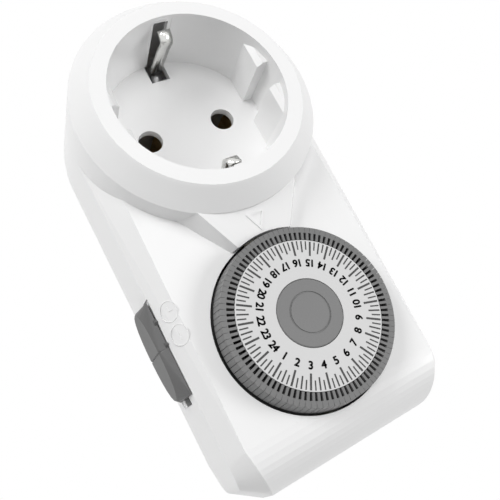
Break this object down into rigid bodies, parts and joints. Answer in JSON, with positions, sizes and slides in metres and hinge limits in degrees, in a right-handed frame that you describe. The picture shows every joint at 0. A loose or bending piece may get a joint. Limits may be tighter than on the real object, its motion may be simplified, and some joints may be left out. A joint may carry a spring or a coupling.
{
  "type": "plug-in timer switch",
  "caption": "Plug-in mains timer switch with a recessed socket, a rotating 24-hour dial with a ring of press-down tappets, and a side override slide.",
  "frame": {"origin": "centre of the plug's engagement face, on the socket axis", "axes": "+Z out of the front through the socket, -Y towards the dial, so the length lies along Y"},
  "size_m": [0.0587, 0.109, 0.0664],
  "materials": {
    "white_plastic": "satin moulded",
    "nickel_pin": "nickel plated, polished",
    "spring_steel": "sheet, brushed",
    "steel": "zinc plated",
    "brass": "sheet, satin",
    "copper": "enamelled winding",
    "magnet": "sintered, dark",
    "gear_plastic": "moulded, natural",
    "block_plastic": "moulded thermoset",
    "grey_plastic": "fine texture",
    "lead_brown": "sleeve",
    "lead_blue": "sleeve",
    "dark_plastic": "moulded",
    "scale_grey": "printed",
    "tappet_plastic": "satin moulded"
  },
  "bodies": {
    "housing": {"front_shell": "white_plastic", "socket_plate": "white_plastic", "back_shell": "white_plastic", "plug_pin_live": "nickel_pin", "plug_pin_neutral": "nickel_pin", "earth_bracket": "spring_steel", "plug_earth_strip": "spring_steel", "earth_rivet": "steel", "neutral_contact": "brass", "live_contact": "brass", "feed_strip": "brass", "housing_screws": "steel", "mech_plate": "steel", "mech_screws": "steel", "motor_can": "steel", "motor_coil": "copper", "motor_lid": "steel", "gear_arbors": "steel", "contact_block": "block_plastic", "lever_pin": "steel", "fixed_contact": "brass", "override_contact": "brass", "slide_spring": "steel", "lead_live": "lead_brown", "lead_neutral": "lead_blue", "dial_washer": "steel", "dial_screw": "steel"},
    "dial": {"dial_wheel": "dark_plastic", "scale_disc": "scale_grey", "dial_cap": "grey_plastic", "tappets_rest": "tappet_plastic"},
    "wheel_a": {"gear_a": "gear_plastic"},
    "wheel_b": {"gear_b": "gear_plastic"},
    "drive": {"motor_pinion": "gear_plastic"},
    "rotor": {"rotor": "magnet"},
    "lever": {"switch_lever": "gear_plastic"},
    "contact_arm": {"moving_contact": "brass"},
    "override": {"override_slide": "grey_plastic"},
    "override_arm": {"override_leaf": "brass"},
    "tappet_1": {"tappet_1": "tappet_plastic"},
    "tappet_2": {"tappet_2": "tappet_plastic"},
    "tappet_3": {"tappet_3": "tappet_plastic"},
    "tappet_4": {"tappet_4": "tappet_plastic"},
    "tappet_5": {"tappet_5": "tappet_plastic"},
    "tappet_6": {"tappet_6": "tappet_plastic"},
    "tappet_7": {"tappet_7": "tappet_plastic"},
    "tappet_8": {"tappet_8": "tappet_plastic"}
  },
  "joints": [
    {"name": "dial_spin", "type": "hinge", "parent": "housing", "child": "dial", "pos_m": [0, -0.0524, 0.04], "axis": [0, 0, -1], "continuous": true},
    {"name": "gear_a_spin", "type": "hinge", "parent": "housing", "child": "wheel_a", "pos_m": [0.00688, -0.06223, 0.0325], "axis": [0, 0, -1], "continuous": true},
    {"name": "gear_b_spin", "type": "hinge", "parent": "housing", "child": "wheel_b", "pos_m": [-0.00395, -0.06414, 0.031], "axis": [0, 0, -1], "continuous": true},
    {"name": "drive_spin", "type": "hinge", "parent": "housing", "child": "drive", "pos_m": [-0.01102, -0.05571, 0.03], "axis": [0, 0, -1], "continuous": true},
    {"name": "rotor_spin", "type": "hinge", "parent": "housing", "child": "rotor", "pos_m": [-0.001, -0.0554, 0.024], "axis": [0, 0, -1], "continuous": true},
    {"name": "lever_tilt", "type": "hinge", "parent": "housing", "child": "lever", "pos_m": [0, -0.0294, 0.0314], "axis": [1, 0, 0], "range_deg": [0, 8]},
    {"name": "contact_close", "type": "hinge", "parent": "housing", "child": "contact_arm", "pos_m": [-0.016, -0.0244, 0.0327], "axis": [0, -1, 0], "range_deg": [0, 2.51]},
    {"name": "override_slide", "type": "slide", "parent": "housing", "child": "override", "axis": [0, -1, 0], "range_m": [0, 0.005]},
    {"name": "override_close", "type": "hinge", "parent": "housing", "child": "override_arm", "pos_m": [-0.01769, -0.0294, 0.026], "axis": [0, 0, 1], "range_deg": [0, 4.3]},
    {"name": "tappet_1_press", "type": "slide", "parent": "dial", "child": "tappet_1", "axis": [0, 0, -1], "range_m": [0, 0.002]},
    {"name": "tappet_2_press", "type": "slide", "parent": "dial", "child": "tappet_2", "axis": [0, 0, -1], "range_m": [0, 0.002]},
    {"name": "tappet_3_press", "type": "slide", "parent": "dial", "child": "tappet_3", "axis": [0, 0, -1], "range_m": [0, 0.002]},
    {"name": "tappet_4_press", "type": "slide", "parent": "dial", "child": "tappet_4", "axis": [0, 0, -1], "range_m": [0, 0.002]},
    {"name": "tappet_5_press", "type": "slide", "parent": "dial", "child": "tappet_5", "axis": [0, 0, -1], "range_m": [0, 0.002]},
    {"name": "tappet_6_press", "type": "slide", "parent": "dial", "child": "tappet_6", "axis": [0, 0, -1], "range_m": [0, 0.002]},
    {"name": "tappet_7_press", "type": "slide", "parent": "dial", "child": "tappet_7", "axis": [0, 0, -1], "range_m": [0, 0.002]},
    {"name": "tappet_8_press", "type": "slide", "parent": "dial", "child": "tappet_8", "axis": [0, 0, -1], "range_m": [0, 0.002]}
  ],
  "couplings": [
    {"joint": "gear_a_spin", "follows": "dial_spin", "ratio": -4},
    {"joint": "gear_b_spin", "follows": "dial_spin", "ratio": 16},
    {"joint": "drive_spin", "follows": "dial_spin", "ratio": -64},
    {"joint": "contact_close", "follows": "lever_tilt", "ratio": 0.3125},
    {"joint": "override_close", "follows": "override_slide", "rad_per_m": 14.8}
  ]
}
